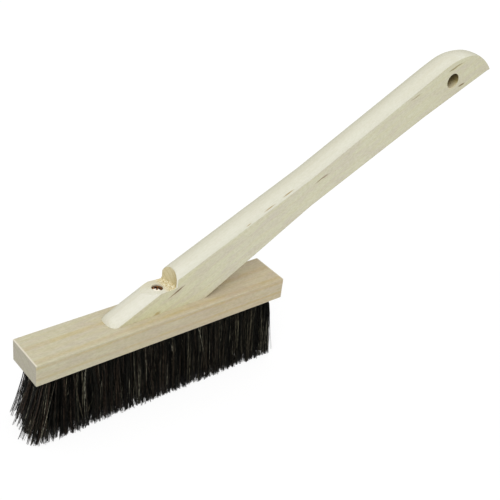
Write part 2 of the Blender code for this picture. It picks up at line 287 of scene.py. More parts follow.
def put(name, data):
    """An object in the scene for a mesh, a camera or a lamp."""
    thing = bpy.data.objects.new(name, data)
    bpy.context.scene.collection.objects.link(thing)
    return thing


def add_piece(name, mesh, slot, materials, *nodes):
    """A piece of the brush that stands for CAD nodes."""
    piece = put(name, mesh)
    for material in materials:
        mesh.materials.append(material)
    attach(piece, "root")
    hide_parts(*nodes)
    return piece


# Materials

def wood(name, tones, grain, pith, ring_width, roughness, lines=0.5, mottle=0.5, streak=0.22, tinges=(), flecks=(),
         torn=None, bore_shade=None, lit_edges=False):
    """Wood as a solid pattern along its grain.

    tones are the early wood, the thin late-wood lines and a stain; grain is the pitch of the fibres in the XZ plane;
    pith is the place of the middle of the rings, ring_width their width; lines, mottle and streak are the shares of
    the late wood, the stain and the long streaks. A tinge (axis, low, high, tone) multiplies the colour more and
    more on the way from low to high. A fleck is a place, its pitch in degrees, its half length and half width in mm,
    and its tone. torn is the place along X where torn fibres begin, and how much of them shows. bore_shade (middle
    along Y, half length, tone) paints shade inside a bore, darkest at its middle. lit_edges mixes in a pale tone by
    the mesh's attribute, a painted highlight on the edges.

    Rings, streaks and flecks are as wide as they show on the brush. Real fibres and pores, up to 0.1 mm wide, are
    too fine to show, so the fibres are drawn 0.28 mm wide, and the grit that pores give a sanded face 1.3 mm wide.
    """
    material, tree = new_material(name)
    place = add(tree, "ShaderNodeTexCoord").outputs["Object"]
    axes = add(tree, "ShaderNodeSeparateXYZ", None, {"Vector": place}).outputs

    def noise(length, width, detail, rough=0.5, warp=0.0):
        """Cloudy noise whose patches are this long along the fibres and this wide across them."""
        drawn_out = {"Vector": place, "Rotation": (0.0, -grain, 0.0), "Scale": (length, width, width)}
        fibre = add(tree, "ShaderNodeMapping", {"vector_type": "TEXTURE"}, drawn_out).outputs[0]
        inputs = {"Vector": fibre, "Scale": 1.0, "Detail": detail, "Roughness": rough, "Distortion": warp}
        return add(tree, "ShaderNodeTexNoise", None, inputs).outputs["Fac"]

    def coat(under, value, low, high, tone, at_high=1.0, at_low=0.0, mode="MIX"):
        """A tone over a colour: its share goes from at_low to at_high as the value goes from low to high."""
        share = add(tree, "ShaderNodeMapRange", None, {0: value, 1: low, 2: high, 3: at_low, 4: at_high}).outputs[0]
        settings = {"data_type": "RGBA", "blend_type": mode}
        return add(tree, "ShaderNodeMix", settings, {0: share, 6: under, 7: rgb(tone)}).outputs[2]

    unit = 10 * MM
    ring_place = add(tree, "ShaderNodeMapping", {"vector_type": "TEXTURE"}, {
        "Vector": place, "Location": pith, "Rotation": (0.0, -grain, 0.0), "Scale": (22 * unit, unit, unit)}).outputs[0]
    # At scale 1 this node draws a ring in every 0.314 of a unit
    rings = add(tree, "ShaderNodeTexWave", {"wave_type": "RINGS", "rings_direction": "X"}, {
        "Vector": ring_place,
        "Scale": 0.314 * unit / ring_width,
        "Distortion": 0.7,
        "Detail": 3.0,
        "Detail Scale": 1.4,
        "Detail Roughness": 0.6,
    }).outputs["Fac"]
    streaks = noise(60 * MM, 1.5 * MM, 3.0, 0.65)
    fibres = noise(7 * MM, 0.28 * MM, 2.0, 0.6)
    stain = noise(24 * MM, 6 * MM, 3.0, 0.6, 0.5)
    grit = noise(3.0 * MM, 1.3 * MM, 2.0, 0.6)
    early, late, warm = tones
    colour = coat(rgb(early), streaks, 0.4, 0.66, late, streak)
    colour = coat(colour, rings, 0.78, 1.0, late, lines)
    colour = coat(colour, stain, 0.42, 0.66, warm, mottle)
    colour = coat(colour, fibres, 0.35, 0.75, "8F7F5E", 0.1)
    colour = coat(colour, grit, 0.38, 0.65, "F2F3EC", min(1.0, 1.6 * mottle), mode="MULTIPLY")
    for axis, low, high, tone in tinges:
        colour = coat(colour, axes[axis], low, high, tone, mode="MULTIPLY")
    # Painted shade inside a bore: darkest at its middle along Y
    if bore_shade:
        middle, half, tone = bore_shade
        off = add(tree, "ShaderNodeMath", {"operation": "SUBTRACT"}, {0: axes[Y], 1: middle}).outputs[0]
        off = add(tree, "ShaderNodeMath", {"operation": "ABSOLUTE"}, {0: off}).outputs[0]
        colour = coat(colour, off, 0.0, half, tone, 0.0, 1.0, "MULTIPLY")
    for x, y, z, pitch, length, width, tone in flecks:
        reach = add(tree, "ShaderNodeMapping", {"vector_type": "TEXTURE"}, {
            "Vector": place, "Location": (x, y, z), "Rotation": (0.0, -math.radians(pitch), 0.0),
            "Scale": (length * MM, width * MM, width * MM)}).outputs[0]
        distance = add(tree, "ShaderNodeVectorMath", {"operation": "LENGTH"}, {0: reach}).outputs["Value"]
        ragged = add(tree, "ShaderNodeMath", {"operation": "MULTIPLY_ADD"}, {0: fibres, 1: 0.9, 2: distance}).outputs[0]
        colour = coat(colour, ragged, 0.85, 1.45, tone, 0.0, 0.9)
    relief = fibres
    if torn:
        start, share = torn
        tears = noise(2.4 * MM, 1.0 * MM, 3.0, 0.7, 0.8)
        chips = noise(1.3 * MM, 1.3 * MM, 1.0, 0.5)
        where = add(tree, "ShaderNodeMapRange", None, {
            0: axes[X], 1: start, 2: start + 4 * MM, 3: 0.0, 4: share}).outputs[0]
        colour = coat(colour, where, 0.0, 1.0, "DACDA2")
        colour = coat(colour, tears, 0.5, 0.66, "A88C4E", where)
        colour = coat(colour, chips, 0.5, 0.66, "F4EFD6", where)
        relief = tears
    # Painted highlight: a pale tone on the edges, by the mesh's attribute
    if lit_edges:
        edge_highlight = add(tree, "ShaderNodeAttribute", {"attribute_name": "edge_highlight"}).outputs["Fac"]
        colour = coat(colour, edge_highlight, 0.0, 1.0, "DFD8C6")
    bump = add(tree, "ShaderNodeBump", None, {
        "Strength": 0.5 if torn else 0.25, "Distance": 0.25 * MM, "Height": relief}).outputs[0]
    rough = add(tree, "ShaderNodeMapRange", None, {
        0: streaks, 1: 0.3, 2: 0.7, 3: roughness - 0.06, 4: roughness + 0.08}).outputs[0]
    shader = add(tree, "ShaderNodeBsdfPrincipled", None, {
        "Base Color": colour, "Roughness": rough, "IOR": 1.45, "Specular IOR Level": 0.25, "Normal": bump}).outputs[0]
    add(tree, "ShaderNodeOutputMaterial", None, {"Surface": shader})
    return material


def yellow_plated_steel(head):
    """Yellow-plated steel: near-white on the part of the head towards -X and -Y, a painted highlight, and dark
    brown on the part towards +X and +Y, painted shade and dark reflection.

    head is the place of the screw's axis. The dark part begins where the way from it towards +X +Y and 0.4 of the
    way beside that add up to more than -1 mm, so its border is bent.
    """
    material, tree = new_material("yellow_plated_steel")
    place = add(tree, "ShaderNodeTexCoord").outputs["Object"]
    blotches = add(tree, "ShaderNodeTexNoise", None, {"Vector": place, "Scale": 700.0, "Detail": 3.0}).outputs["Fac"]
    centred = add(tree, "ShaderNodeVectorMath", {"operation": "SUBTRACT"}, {0: place, 1: head}).outputs[0]
    towards, beside = (
        add(tree, "ShaderNodeVectorMath", {"operation": "DOT_PRODUCT"}, {0: centred, 1: way}).outputs["Value"]
        for way in ((0.66, 0.75, 0.0), (0.75, -0.66, 0.0)))
    beside = add(tree, "ShaderNodeMath", {"operation": "ABSOLUTE"}, {0: beside}).outputs[0]
    curved = add(tree, "ShaderNodeMath", {"operation": "MULTIPLY_ADD"}, {0: beside, 1: 0.4, 2: towards}).outputs[0]
    painted_dark_share = add(tree, "ShaderNodeMapRange", None, {0: curved, 1: -1.0 * MM, 2: -0.2 * MM}).outputs[0]
    painted_dark_share = add(tree, "ShaderNodeMath", {"operation": "MULTIPLY_ADD", "use_clamp": True}, {
        0: blotches, 1: 0.12, 2: painted_dark_share}).outputs[0]
    brown = add(tree, "ShaderNodeMapRange", None, {0: blotches, 1: 0.4, 2: 0.62}).outputs[0]
    rgba = {"data_type": "RGBA"}
    # Dark brown is the painted shade and dark reflection, near-white metal the painted highlight
    painted_dark_tone = add(tree, "ShaderNodeMix", rgba, {0: brown, 6: rgb("32130A"), 7: rgb("936438")}).outputs[2]
    colour = add(tree, "ShaderNodeMix", rgba, {0: painted_dark_share, 6: rgb("FFF8E6"), 7: painted_dark_tone}).outputs[2]
    rough = add(tree, "ShaderNodeMapRange", None, {0: blotches, 1: 0.3, 2: 0.7, 3: 0.2, 4: 0.4}).outputs[0]
    shader = add(tree, "ShaderNodeBsdfPrincipled", None, {
        "Base Color": colour, "Metallic": 1.0, "Roughness": rough}).outputs[0]
    add(tree, "ShaderNodeOutputMaterial", None, {"Surface": shader})
    return material


def horsehair():
    """Undyed horsehair: near-black with brown and grey hairs among it, and a dull sheen along each hair.

    The sheen is painted into the colour: it comes and goes in patches 4 mm long and 0.75 mm wide, where real
    hairs of 0.2 mm each catch the light for themselves, which is too fine to show.
    """
    material, tree = new_material("horsehair")
    tint = add(tree, "ShaderNodeVertexColor", {"layer_name": "tint"}).outputs["Color"]
    place = add(tree, "ShaderNodeTexCoord").outputs["Object"]
    short = add(tree, "ShaderNodeMapping", {"vector_type": "TEXTURE"}, {
        "Vector": place, "Scale": (0.75 * MM, 0.75 * MM, 4 * MM)}).outputs[0]
    # Painted sheen: the base colour brightens and dims in short patches
    painted_sheen = add(tree, "ShaderNodeTexNoise", None, {"Vector": short, "Scale": 1.0, "Detail": 2.0}).outputs["Fac"]
    painted_sheen = add(tree, "ShaderNodeMapRange", None, {0: painted_sheen, 1: 0.35, 2: 0.68, 3: 0.25, 4: 1.9}).outputs[0]
    tint = add(tree, "ShaderNodeVectorMath", {"operation": "SCALE"}, {0: tint, "Scale": painted_sheen}).outputs[0]
    shader = add(tree, "ShaderNodeBsdfPrincipled", None, {
        "Base Color": tint, "Roughness": 0.4, "IOR": 1.55, "Specular IOR Level": 0.05}).outputs[0]
    add(tree, "ShaderNodeOutputMaterial", None, {"Surface": shader})
    return material


def seen_directly(tree):
    """1 for the camera's rays, also by way of metal or glass, and 0 for rays that only light the object."""
    path = add(tree, "ShaderNodeLightPath").outputs
    seen = path["Is Camera Ray"]
    for kind in ("Is Glossy Ray", "Is Transmission Ray"):
        seen = add(tree, "ShaderNodeMath", {"operation": "ADD", "use_clamp": True}, {0: seen, 1: path[kind]}).outputs[0]
    return seen


def paper_floor():
    """White paper that the camera sees almost white where it is lit, and that keeps a faint shadow."""
    material, tree = new_material("white_paper")
    seen = seen_directly(tree)
    lit = add(tree, "ShaderNodeBsdfDiffuse", None, {"Color": rgb("DADADA")}).outputs[0]
    faint = add(tree, "ShaderNodeBsdfDiffuse", None, {"Color": (PAPER_SHADE, PAPER_SHADE, PAPER_SHADE, 1.0)}).outputs[0]
    glow = add(tree, "ShaderNodeEmission", None, {"Strength": PAPER_GLOW}).outputs[0]
    both = add(tree, "ShaderNodeAddShader", None, {0: faint, 1: glow}).outputs[0]
    front = add(tree, "ShaderNodeMixShader", None, {0: seen, 1: lit, 2: both}).outputs[0]
    clear = add(tree, "ShaderNodeBsdfTransparent").outputs[0]
    back = add(tree, "ShaderNodeNewGeometry").outputs["Backfacing"]
    surface = add(tree, "ShaderNodeMixShader", None, {0: back, 1: front, 2: clear}).outputs[0]
    add(tree, "ShaderNodeOutputMaterial", None, {"Surface": surface})
    return material


# Beech, planed and sanded: tan, with a few thin yellow growth lines along the block and a pinker right part. Its
# sawn ends cut the fibres across, so they are greyer and rougher. A pale painted highlight lies on the upper edges
# of both ends and, fainter, on the lower edges of the long sides.
BEECH = (0.0, (MIDDLE, 53.7 * MM, BLOCK_TOP - 107.3 * MM), 8.78 * MM)
PINKER = (X, MIDDLE - 90 * MM, MIDDLE + 60 * MM, "FCF5F2")
block_side_wood = wood("sanded_beech", ("CEC9AF", "C8B98F", "C6BBA9"), *BEECH, 0.6,
                       lines=0.75, mottle=0.6, streak=0.45, tinges=[PINKER], lit_edges=True)
block_end_wood = wood("beech_end_grain", ("BAB6A5", "ABA692", "B5ACA3"), *BEECH, 0.7,
                      lines=0.5, mottle=0.6, lit_edges=True)

# Birch, sanded: cream and nearly plain, the back a little paler than the sides, with short brown pith flecks along
# its fibres
BIRCH_PITH = (0.0, 0.11, 0.02)
BIRCH = (GRIP_PITCH, BIRCH_PITH, 5.5 * MM)
BORED_BIRCH = (GRIP_PITCH, BIRCH_PITH, 3.0 * MM)
SIDE_FLECKS = [
    (-0.10300, NEAR_SIDE, 0.09500, 29, 8.5, 0.95, "6B4A26"),
    (-0.10900, NEAR_SIDE, 0.09180, 28, 5.0, 0.50, "8A6C40"),
    (0.03990, NEAR_SIDE, 0.16400, 27, 8.5, 0.62, "7C5C34"),
    (0.04500, NEAR_SIDE, 0.16560, 25, 5.0, 0.40, "8C7149"),
    (0.14053, NEAR_SIDE, 0.22100, 21, 7.0, 0.40, "977E55"),
    (0.14353, NEAR_SIDE, 0.22290, 21, 5.0, 0.30, "977E55"),
    (0.18370, NEAR_SIDE, 0.24090, 17, 6.5, 0.95, "8F8158"),
    (0.18930, NEAR_SIDE, 0.24350, 17, 8.0, 1.00, "A09268"),
    (0.20060, NEAR_SIDE, 0.22310, 17, 5.2, 1.20, "73592F"),
    (-0.12250, NEAR_SIDE, 0.07850, 20, 4.0, 2.20, "B8A878"),
]
BACK_FLECKS = [
    (-0.03540, -0.0084, 0.13840, 25, 3.5, 0.55, "B3A075"),
    (-0.01430, -0.0080, 0.14880, 24, 7.5, 0.65, "A8905F"),
    (0.00480, -0.0078, 0.15790, 24, 7.5, 0.65, "A48C5C"),
]
# Painted shade on the back: darker from the near edge to the middle and on to the far side, darkest along the far edge,
# and a little darker along the grip
SHADE_TO_MIDDLE = (Y, NEAR_SIDE, 0.0, "F5F4F1")
SHADE_TO_FAR_SIDE = (Y, 0.0, 0.009, "F8F8F3")
SHADE_AT_FAR_EDGE = (Y, 0.0068, 0.0105, "CFC8B2")
SHADE_ON_GRIP = (X, -0.115, -0.08, "F9F9F6")
# The back gets darker and a little yellower towards its tip end
BACK_DARKER_AT_TIP = (X, 0.196, 0.230, "D5D4C8")
TOWARDS_TIP = (X, 0.09, 0.235, "F9F9F4")
TOWARDS_TOE = (X, -0.05, -0.13, "FBFBF0")
handle_side_wood = wood("sanded_birch_side", ("DFDDC4", "D9D1B0", "D6CEBF"), *BIRCH, 0.6,
                        lines=0.35, mottle=0.7, tinges=[TOWARDS_TIP, TOWARDS_TOE], flecks=SIDE_FLECKS)
handle_back_wood = wood("sanded_birch_back", ("E7E6D9", "DFDBC8", "E2DDD0"), *BIRCH, 0.6, lines=0.25, mottle=0.25,
                        tinges=[SHADE_TO_MIDDLE, SHADE_TO_FAR_SIDE, SHADE_AT_FAR_EDGE, SHADE_ON_GRIP, BACK_DARKER_AT_TIP], flecks=BACK_FLECKS)

# Birch as the saw left it, under the handle: darker and yellower than the sanded faces. On the rounded lower
# edges that darker tone is painted shade.
under_and_edge_shade_wood = wood("sawn_birch_underside_and_edge_shade", ("C9C3A6", "BDB491", "C0B8A0"), *BIRCH, 0.65, lines=0.35, mottle=0.7)

# Birch, routed: the step's floor is pale, a little warmer at the far side, and near the wall the cutter tore up its
# fibres, which gives brown tears and pale chips. The wall is cut across the fibres: yellower, with strong lines.
STEP_FAR_SIDE = (Y, -0.002, 0.009, "F4F0E5")
WALL_NEAR_SIDE = (Y, 0.001, -0.008, "E6DEC6")
EVERYWHERE = -1.0
step_floor_wood = wood("routed_birch", ("E7E6D7", "DFD9C2", "E3DDCD"), *BIRCH, 0.65,
                       lines=0.3, mottle=0.35, tinges=[STEP_FAR_SIDE], torn=(MIDDLE + 1.0 * MM, 0.9))
step_wall_wood = wood("routed_birch_wall", ("D7CDAB", "C1B387", "CBBF99"), GRIP_PITCH, BIRCH_PITH, 4.4 * MM, 0.65,
                      lines=0.7, mottle=0.6, tinges=[WALL_NEAR_SIDE], torn=(EVERYWHERE, 0.12))

# Birch, drilled: the hanging hole's wall gets browner upwards and further inside, which is painted shade; the
# screw's counterbore is fresh and pale
BORE_SHADE_LOW = (Z, 0.2235, 0.2275, "CEC7A4")
BORE_SHADE_HIGH = (Z, 0.2262, 0.2345, "6A5836")
bore_wood = wood("drilled_birch", ("E0D7B8", "CABC90", "D0C49F"), *BORED_BIRCH, 0.6,
                 tinges=[BORE_SHADE_LOW, BORE_SHADE_HIGH], bore_shade=(HANDLE_SIDE_OFFSET, 9 * MM, "87784A"))
counterbore_wood = wood("counterbored_birch", ("EBE5D0", "D8CFAE", "E0D8BC"), *BORED_BIRCH, 0.6)
screw_metal = yellow_plated_steel((SCREW_X + MIDDLE, SCREW_SIDE_OFFSET, 0.0))
hair = horsehair()


# Block with tuft holes

def edge_lines(half, radius, inner):
    """Grid lines over one axis of a rounded box: even turns of the rounding at both ends, and the inner lines."""
    bend = radius * np.tan(np.radians([0, 15, 30, 45]))
    ends = half - radius + bend
    return np.unique(np.round(np.concatenate([-ends, inner, ends]), 9))


def rounded(points, half, radius):
    """Points of a sharp box moved to its rounded form: the core box's nearest point plus the radius outwards."""
    core = np.clip(points, -(half - radius), half - radius)
    away = points - core
    return core + radius * away / np.linalg.norm(away, axis=-1, keepdims=True)


def tuft_centre(rank, tuft):
    """Place of a tuft from the block's middle, by the number of its rank and its number in the rank."""
    return (rank + 0.5) * RANK_PITCH - FIELD_LENGTH / 2, (tuft + 0.5) * TUFT_PITCH - FIELD_WIDTH / 2


def tuft_holes(base):
    """Points, quads and bottom faces of all tuft holes, drilled upwards from the height of base.

    A hole's rings run from the square border of its cell, over a quarter circle of rim, up its wall and in to its
    flat bottom. One hole is worked out and added to each tuft's place.
    """
    steps = np.linspace(-0.5, 0.5, POINTS_ON_CELL_SIDE + 1)[:-1]
    edge = np.full_like(steps, 0.5)
    square = np.concatenate([
        np.stack([steps, -edge], 1), np.stack([edge, steps], 1),
        np.stack([-steps, edge], 1), np.stack([-edge, -steps], 1)])
    square = square * [RANK_PITCH, TUFT_PITCH]
    curve = np.radians([0, 30, 60, 90])
    radii = np.concatenate([
        TUFT_HOLE_RADIUS + TUFT_HOLE_RIM * (1 - np.sin(curve)), [TUFT_HOLE_RADIUS, TUFT_HOLE_BOTTOM_RADIUS]])
    depths = np.concatenate([TUFT_HOLE_RIM * (1 - np.cos(curve)), [TUFT_HOLE_DEPTH, TUFT_HOLE_DEPTH]])
    rings = np.concatenate([square[None], radii[:, None, None] * unit_length(square)])
    heights = np.concatenate([[0.0], depths]) + base
    hole = np.concatenate([rings, np.broadcast_to(heights[:, None, None], (*rings.shape[:2], 1))], axis=2)
    around, count = len(square), rings.shape[0] * rings.shape[1]
    centre_x, centre_y = tuft_centre(np.arange(RANKS), np.arange(TUFTS_IN_RANK))
    centres = np.stack(np.meshgrid(centre_x, centre_y, [0.0], indexing="ij"), -1).reshape(-1, 1, 3)
    jumps = np.arange(len(centres))[:, None] * count
    faces = grid_faces(len(rings), around, True)[None, :, ::-1] + jumps[:, :, None]
    floors = np.arange(count - around, count)[None, ::-1] + jumps
    return (hole.reshape(1, -1, 3) + centres).reshape(-1, 3), faces.reshape(-1, 4), floors


def block_mesh():
    """A rounded box whose underside is drilled: each tuft hole's rings run from its square cell to the bottom.

    Its six sides are sheets of a sharp box, and each of their points moves to the rounded form. The painted edge
    highlight is 1 on the upper edge of both ends and 0.4 on the lower edge of both long sides, and fades in a soft
    step away from them.
    """
    half = np.array([(block_high.x - block_low.x) / 2, (block_high.y - block_low.y) / 2, (BLOCK_TOP - BLOCK_BASE) / 2])
    cells_x = np.linspace(-FIELD_LENGTH / 2, FIELD_LENGTH / 2, RANKS * POINTS_ON_CELL_SIDE + 1)
    cells_y = np.linspace(-FIELD_WIDTH / 2, FIELD_WIDTH / 2, TUFTS_IN_RANK * POINTS_ON_CELL_SIDE + 1)
    lines = [
        edge_lines(half[0], EDGE_ROUNDING, [*cells_x, *(np.array([-1, 1]) * (half[0] - EDGE_ROUNDING - END_HIGHLIGHT_BAND))]),
        edge_lines(half[1], EDGE_ROUNDING, cells_y),
        edge_lines(half[2], EDGE_ROUNDING, np.linspace(-1, 1, 9) * (half[2] - EDGE_ROUNDING - EDGE_HIGHLIGHT_BAND)),
    ]
    shells = []
    for axis in range(3):
        one, other = [k for k in range(3) if k != axis]
        first, second = np.meshgrid(lines[one], lines[other], indexing="ij")
        faces = grid_faces(len(lines[one]), len(lines[other]), False)
        for side in (-1, 1):
            sheet = np.zeros((*first.shape, 3))
            sheet[..., one] = first
            sheet[..., other] = second
            sheet[..., axis] = side * half[axis]
            flat = sheet.reshape(-1, 3)
            kept = faces
            if axis == 2 and side == -1:
                middle = flat[faces].mean(axis=1)
                kept = faces[(abs(middle[:, 0]) > FIELD_LENGTH / 2) | (abs(middle[:, 1]) > FIELD_WIDTH / 2)]
            turn_over = side * (1 if axis != 1 else -1) > 0
            shells.append((rounded(flat, half, EDGE_ROUNDING), kept[:, ::-1] if turn_over else kept))
    holes, hole_faces, floors = tuft_holes(-half[2])
    shells.append((holes, hole_faces))
    points = np.concatenate([shell[0] for shell in shells])
    starts = np.cumsum([0] + [len(shell[0]) for shell in shells])
    faces = np.concatenate([shell[1] + start for shell, start in zip(shells, starts)])
    places, numbers = np.unique(np.round(points / WELD).astype(np.int64), axis=0, return_inverse=True)
    places, numbers = places * WELD, numbers.ravel()
    middle = np.array([MIDDLE, (block_low.y + block_high.y) / 2, (BLOCK_TOP + BLOCK_BASE) / 2])
    mesh = mesh_from("drilled_block", places + middle, numbers[faces], numbers[floors + starts[-2]])
    # The painted edge highlight, kept as a point attribute for the wood's shader
    from_edge = half - abs(places) - EDGE_ROUNDING
    at_end = 1 - soft_step(from_edge[:, 0] / END_HIGHLIGHT_BAND)
    at_side, at_level = 1 - soft_step(from_edge[:, 1:].T / EDGE_HIGHLIGHT_BAND)
    edge_highlight = np.maximum(at_end * at_level * (places[:, 2] > 0), 0.4 * at_side * at_level * (places[:, 2] < 0))
    layer = mesh.attributes.new("edge_highlight", "FLOAT", "POINT")
    layer.data.foreach_set("value", edge_highlight.astype(np.float32))
    return mesh


block_shape = block_mesh()
block = add_piece("drilled_block", block_shape, "block_wood", [block_side_wood, block_end_wood], "block")
normals = np.zeros(len(block_shape.polygons) * 3, np.float32)
block_shape.polygons.foreach_get("normal", normals)
is_end = (abs(normals.reshape(-1, 3)[:, 0]) > 0.75).astype(np.int32)
centres = np.zeros(len(block_shape.polygons) * 3, np.float32)
block_shape.polygons.foreach_get("center", centres)
is_end[abs(centres.reshape(-1, 3)[:, 0] - MIDDLE) < 0.1] = 0
block_shape.polygons.foreach_set("material_index", is_end)
block_shape.set_sharp_from_angle(angle=BLOCK_CREASE)


# Handle

def under_edge(x):
    """Height of the handle's lower edge over the block: three straight stretches from the heel."""
    knee = math.tan(HEEL_PITCH) * (UNDER_KNEE - HANDLE_HEEL)
    bend = knee + math.tan(GRIP_PITCH) * (UNDER_BEND - UNDER_KNEE)
    tip = bend + math.tan(END_PITCH) * (HANDLE_TIP - UNDER_BEND)
    toe = math.tan(HEEL_PITCH) * (HANDLE_TOE - HANDLE_HEEL)
    return np.interp(x, [HANDLE_TOE, HANDLE_HEEL, UNDER_KNEE, UNDER_BEND, HANDLE_TIP], [toe, 0.0, knee, bend, tip])


def back_edge(x):
    """Height of the edge between side and arched back.

    From the left it is the toe's slope, two straight stretches, a circle up to the crest, and part of an ellipse
    from there down to the blunt tip.
    """
    knee = under_edge(BACK_KNEE) + KNEE_DEPTH
    pitch = np.where(x < BACK_KNEE, math.tan(LOWER_BACK_PITCH), math.tan(UPPER_BACK_PITCH))
    straight = knee + pitch * (x - BACK_KNEE)
    shoulder = knee + math.tan(UPPER_BACK_PITCH) * (END_SHOULDER - BACK_KNEE)
    rise = (CREST - END_SHOULDER) / math.sin(UPPER_BACK_PITCH)
    crest = shoulder + rise * (1 - math.cos(UPPER_BACK_PITCH))
    climb = crest - rise + np.sqrt(np.maximum(0.0, rise ** 2 - (CREST - x) ** 2))
    fall = crest - under_edge(HANDLE_TIP) - TIP_BLUNTNESS
    share = TIP_FULLNESS * (x - CREST) / (HANDLE_TIP - CREST)
    drop = crest - fall * (1 - np.sqrt(1 - np.clip(share, 0, 0.99) ** 2)) / (1 - math.sqrt(1 - TIP_FULLNESS ** 2))
    toe = math.tan(TOE_PITCH) * (x - TOE_BACK_START)
    return np.select([x < STEP_EDGE, x <= END_SHOULDER, x < CREST], [toe, straight, climb], drop)


ARCH_RADIUS = (HANDLE_THICKNESS ** 2 / 4 + HANDLE_ARCH ** 2) / (2 * HANDLE_ARCH)
ARCH_SPREAD = math.asin(HANDLE_THICKNESS / 2 / ARCH_RADIUS)


def arch(x, across):
    """Place across (from -1 at the near edge to 1) and height of the back: a circular arch between both side edges.

    It flattens towards the tip, where the far edge drops.
    """
    near = back_edge(x)
    fullness = np.minimum(1.0, (near - under_edge(x)) / HANDLE_THICKNESS)
    far = near - FAR_SIDE_DROP * fullness * soft_step((x - CREST + FAR_SIDE_DROP_LENGTH) / FAR_SIDE_DROP_LENGTH)
    flattening = soft_step((x - HANDLE_TIP + FLATTENING_FROM_TIP) / FLATTENING_LENGTH)
    rise = (HANDLE_ARCH + (END_ARCH - HANDLE_ARCH) * flattening) / math.cos(UPPER_BACK_PITCH) * fullness
    angle = ARCH_SPREAD * across
    height = near + (far - near) * (across + 1) / 2
    height = height + rise * (np.cos(angle) - math.cos(ARCH_SPREAD)) / (1 - math.cos(ARCH_SPREAD))
    return HANDLE_THICKNESS / 2 * np.sin(angle) / math.sin(ARCH_SPREAD) + 0 * height, height


def step_wall(y):
    """Place along the block of the step's wall: a circle about an upright axis."""
    return STEP_WALL - STEP_WALL_RADIUS + np.sqrt(STEP_WALL_RADIUS ** 2 - (y - STEP_SIDE_OFFSET) ** 2)


def handle_blank():
    """Cuts across the handle joined to a closed skin: arched back, flat sides and a bottom with rounded edges.

    The toe's nose is a quarter ellipse from the side, and half an ellipse from above: its cuts are bent back
    towards the sides, half as much at the far corner, which is fuller. The faces are of the first material on the
    back, of the third on the underside with its rounded edges, and of the second elsewhere.
    """
    x = np.unique(np.concatenate([
        HANDLE_TOE + TOE_NOSE * (1 - np.cos(np.radians(np.arange(0, 91, 7.5)))),
        np.arange(HANDLE_TOE + TOE_NOSE, STEP_EDGE - 1 * MM, 2 * MM),
        [STEP_EDGE - 0.15 * MM, STEP_EDGE + 0.15 * MM, HANDLE_HEEL - SOLE_ALLOWANCE / math.tan(HEEL_PITCH)],
        np.arange(STEP_EDGE + 2 * MM, END_SHOULDER, 4 * MM),
        [BACK_KNEE, UNDER_KNEE, UNDER_BEND],
        np.linspace(END_SHOULDER, CREST, 22),
        CREST + (HANDLE_TIP - CREST) * np.sin(np.radians(np.arange(0, 91, 4))),
    ]))[:, None]
    half = HANDLE_THICKNESS / 2
    floor = np.maximum(under_edge(x), -SOLE_ALLOWANCE)
    across = np.linspace(-1, 1, ARCH_POINTS)[None]
    plan = TOE_ROUND * (1 - np.sqrt(1 - np.sin(ARCH_SPREAD * across) ** 2 / math.sin(ARCH_SPREAD) ** 2 * 0.9999))
    plan = plan * np.where(across > 0, TOE_FAR_CORNER, 1.0)
    bent = x + plan * (1 - soft_step((x - HANDLE_TOE) / TOE_BEND_LENGTH))
    arch_y, arch_z = arch(bent, across)
    lift = np.sqrt(1 - np.clip((HANDLE_TOE + TOE_NOSE - x) / TOE_NOSE, 0, 1) ** 2)
    arch_z = np.maximum((arch_z + TOE_NOSE_DEPTH) * lift - TOE_NOSE_DEPTH, floor + 0.3 * MM)
    corner = np.minimum(LOWER_EDGE_ROUNDING, 0.3 * (np.minimum(arch_z[:, :1], arch_z[:, -1:]) - floor))
    bend = np.radians([0, 18, 36, 54, 72, 90])[None]
    down_y = half - corner * (1 - np.cos(bend))
    down_z = floor + corner * (1 - np.sin(bend))
    support = np.minimum(0.5 * MM, 0.3 * corner)
    side_y = np.concatenate([half + 0 * x, down_y, half - corner - support], axis=1)
    side_z = np.concatenate([floor + corner + support, down_z, floor], axis=1)
    ring_y = np.concatenate([arch_y, side_y, -side_y[:, ::-1]], axis=1)
    ring_z = np.concatenate([arch_z, side_z, side_z[:, ::-1]], axis=1)
    ring_x = np.concatenate([
        bent, np.broadcast_to(bent[:, -1:], side_y.shape), np.broadcast_to(bent[:, :1], side_y.shape)], axis=1)
    grid = np.stack([ring_x + MIDDLE, ring_y + HANDLE_SIDE_OFFSET, ring_z + BLOCK_TOP], -1)
    mesh = closed_tube("shaped_handle", grid)
    rows, columns = grid.shape[:2]
    column = np.tile(np.arange(columns), rows - 1)
    kinds = np.select([column < ARCH_POINTS - 1, (column > ARCH_POINTS) & (column < columns - 2)], [0, 2], 1)
    mesh.polygons.foreach_set("material_index", np.concatenate([kinds, [1, 1]]).astype(np.int32))
    return mesh


